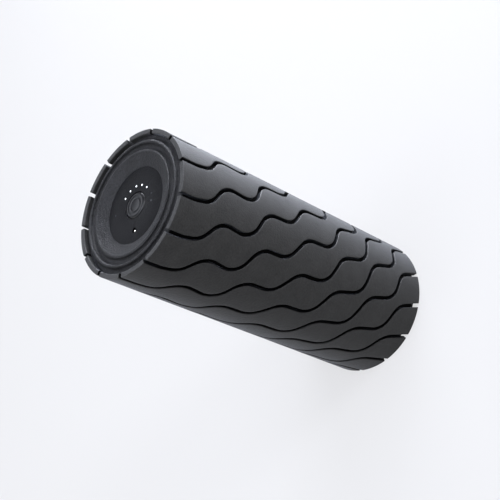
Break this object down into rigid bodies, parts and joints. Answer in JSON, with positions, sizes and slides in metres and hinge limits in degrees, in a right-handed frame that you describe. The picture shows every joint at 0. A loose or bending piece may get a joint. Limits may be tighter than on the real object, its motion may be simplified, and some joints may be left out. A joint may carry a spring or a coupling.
{
  "type": "foam roller",
  "caption": "Vibrating foam roller: wavy-grooved foam sleeve on a rigid tube, dished end caps, power button with level lights, charging socket, motor with eccentric weights.",
  "frame": {"origin": "centre of the plain foot end's flat foam face, on the roller's axis, with the roller stood on that end", "axes": "+Z along the roller's axis towards the control end, +Y towards the side of the control panel with the arc of level lights, +X to the right when looking at the control end with the lights at the top"},
  "size_m": [0.127, 0.127, 0.293],
  "materials": {
    "foam": "fine-grained matte foam",
    "cap_plastic": "fine spark texture",
    "panel_plastic": "smooth matte",
    "button_plastic": "smooth satin",
    "black_plastic": "matte",
    "tube_plastic": "moulded",
    "white_plastic": "moulded",
    "light_pipe": "lit, clear",
    "status_pipe": "unlit, smoky",
    "nickel_plate": "plated",
    "circuit_board": "solder mask",
    "ceramic_chip": "moulded",
    "steel": "machined",
    "iron": "plain",
    "magnet": "sintered",
    "sintered_bronze": "sintered",
    "brass": "pressed",
    "copper": "turned",
    "copper_wire": "enamelled",
    "carbon": "graphite",
    "cell_wrap": "shrink film",
    "wire_cover": "silicone cover",
    "seal_rubber": "plain"
  },
  "bodies": {
    "roller": {"battery_cells": "cell_wrap", "battery_leads": "wire_cover", "battery_straps": "nickel_plate", "board_connectors": "white_plastic", "board_screws": "steel", "brush_holders": "brass", "brushes": "carbon", "chassis_left": "tube_plastic", "chassis_right": "tube_plastic", "chassis_screws": "steel", "control_board": "circuit_board", "control_cable": "wire_cover", "control_cap_screws": "steel", "control_cap_seal": "seal_rubber", "control_chips": "ceramic_chip", "control_end_cap": "cap_plastic", "control_panel": "panel_plastic", "core_tube": "tube_plastic", "foam_sleeve": "foam", "foot_cap_screws": "steel", "foot_cap_seal": "seal_rubber", "foot_end_cap": "cap_plastic", "foot_panel": "panel_plastic", "jack_housing": "black_plastic", "jack_pin": "nickel_plate", "jack_sleeve": "nickel_plate", "level_light_pipes": "light_pipe", "light_chips": "ceramic_chip", "lower_battery_holder": "black_plastic", "lower_bearing_outer_race": "steel", "motor_bushes": "sintered_bronze", "motor_can": "steel", "motor_end_bell": "black_plastic", "motor_isolators": "seal_rubber", "motor_leads": "wire_cover", "motor_magnets": "magnet", "power_board": "circuit_board", "power_board_parts": "ceramic_chip", "status_light_pipes": "status_pipe", "switch_body": "black_plastic", "upper_battery_holder": "black_plastic", "upper_bearing_outer_race": "steel"},
    "rotor": {"motor_shaft": "steel", "armature_core": "iron", "armature_windings": "copper_wire", "commutator": "copper", "lower_weight": "iron", "upper_weight": "iron", "weight_set_screws": "steel", "lower_bearing_inner_race": "steel", "upper_bearing_inner_race": "steel"},
    "lower_ball_set": {"lower_bearing_balls": "steel", "lower_bearing_cage": "brass"},
    "upper_ball_set": {"upper_bearing_balls": "steel", "upper_bearing_cage": "brass"},
    "button": {"power_button": "button_plastic", "switch_plunger": "black_plastic"}
  },
  "joints": [
    {"name": "rotor_spin", "type": "hinge", "parent": "roller", "child": "rotor", "pos_m": [0, 0, 0.113], "axis": [0, 0, 1], "continuous": true},
    {"name": "lower_balls_orbit", "type": "hinge", "parent": "roller", "child": "lower_ball_set", "pos_m": [0, 0, 0.0445], "axis": [0, 0, 1], "continuous": true},
    {"name": "upper_balls_orbit", "type": "hinge", "parent": "roller", "child": "upper_ball_set", "pos_m": [0, 0, 0.1815], "axis": [0, 0, 1], "continuous": true},
    {"name": "power_button_press", "type": "slide", "parent": "roller", "child": "button", "axis": [0, 0, -1], "range_m": [0, 0.0008], "stiffness_N_per_m": 1500, "springref_m": -0.0004}
  ],
  "couplings": [
    {"joint": "lower_balls_orbit", "follows": "rotor_spin", "ratio": 0.37},
    {"joint": "upper_balls_orbit", "follows": "rotor_spin", "ratio": 0.37}
  ]
}
